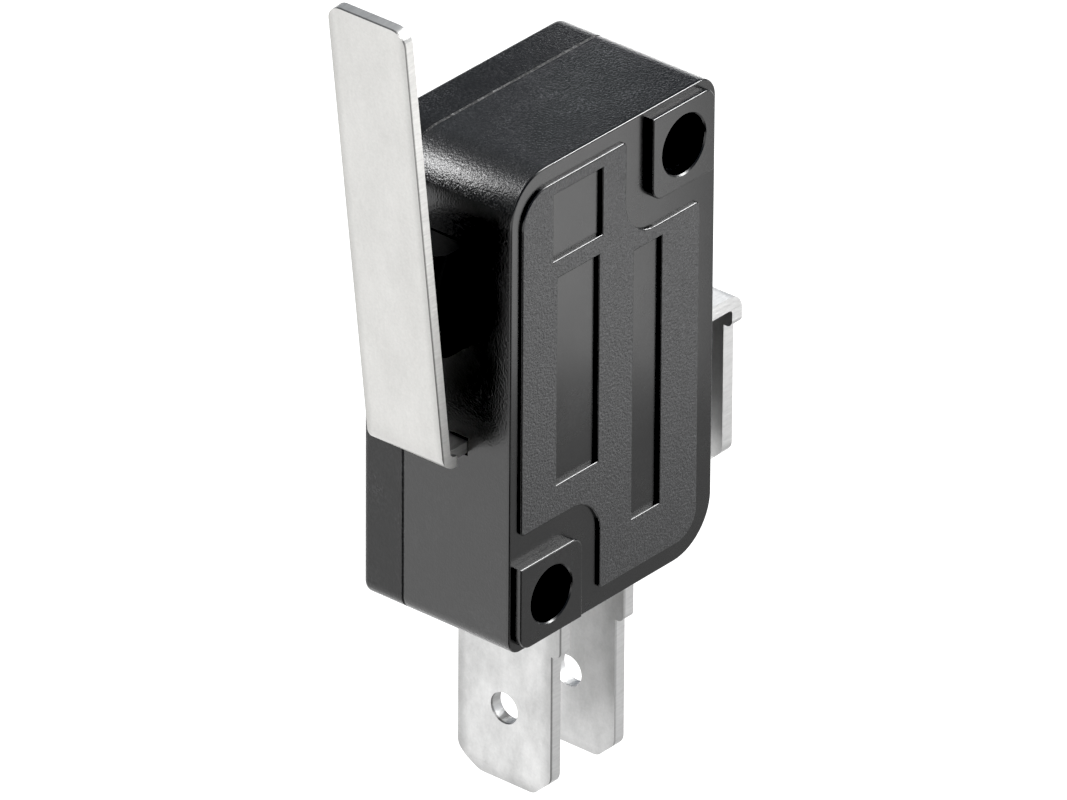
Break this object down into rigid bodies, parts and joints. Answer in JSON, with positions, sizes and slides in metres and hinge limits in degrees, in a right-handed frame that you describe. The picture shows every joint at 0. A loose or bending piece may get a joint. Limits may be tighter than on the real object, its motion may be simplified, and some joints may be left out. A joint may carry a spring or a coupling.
{
  "type": "micro switch",
  "caption": "Snap-action micro switch with a long straight hinge lever, a moulded two-part body and push-on blade terminals.",
  "frame": {"origin": "axis of the lower mounting hole, on the flat back face of the cover", "axes": "+Z along the body from the lower mounting hole towards the lever's tip, +Y out of the back face, -X the side with the lever"},
  "size_m": [0.0256, 0.0105, 0.05],
  "materials": {
    "body": "moulded black thermoset, fine grain on the front panel",
    "terminal": "tin-plated brass strip, stamped",
    "contact": "silver alloy rivet",
    "lever": "stainless spring strip, satin",
    "plunger": "moulded black plastic, smooth",
    "inner_sheet": "stamped copper alloy",
    "spring": "drawn spring wire"
  },
  "bodies": {
    "body": {"case": "body", "cover": "body", "common_terminal": "terminal", "nc_terminal": "terminal", "no_terminal": "terminal", "nc_contact": "contact", "no_contact": "contact", "toggle_spring": "spring"},
    "lever": {"lever": "lever"},
    "plunger": {"plunger": "plunger"},
    "rocker": {"rocker": "inner_sheet"},
    "contact_arm": {"contact_arm": "inner_sheet", "moving_contact": "contact"}
  },
  "joints": [
    {"name": "lever_hinge", "type": "hinge", "parent": "body", "child": "lever", "pos_m": [-0.00205, -0.0051, 0.00868], "axis": [0, 1, 0], "range_deg": [0, 9.3], "stiffness_Nm_per_rad": 0.03, "springref_deg": -17.19, "deforming": ["toggle_spring"]},
    {"name": "plunger_slide", "type": "slide", "parent": "body", "child": "plunger", "axis": [1, 0, 0], "range_m": [0, 0.00144]},
    {"name": "rocker_hinge", "type": "hinge", "parent": "body", "child": "rocker", "pos_m": [0.00675, -0.0051, 0.01015], "axis": [0, 1, 0], "range_deg": [0, 10.37]},
    {"name": "arm_hinge", "type": "hinge", "parent": "body", "child": "contact_arm", "pos_m": [0.00558, -0.0051, 0.00925], "axis": [0, 1, 0], "range_deg": [-8.37, 0]}
  ],
  "couplings": [
    {"joint": "plunger_slide", "follows": "lever_hinge", "m_per_rad": 0.0087861},
    {"joint": "rocker_hinge", "follows": "lever_hinge", "ratio": 1.1038},
    {"joint": "arm_hinge", "follows": "lever_hinge", "ratio": -0.89118}
  ]
}
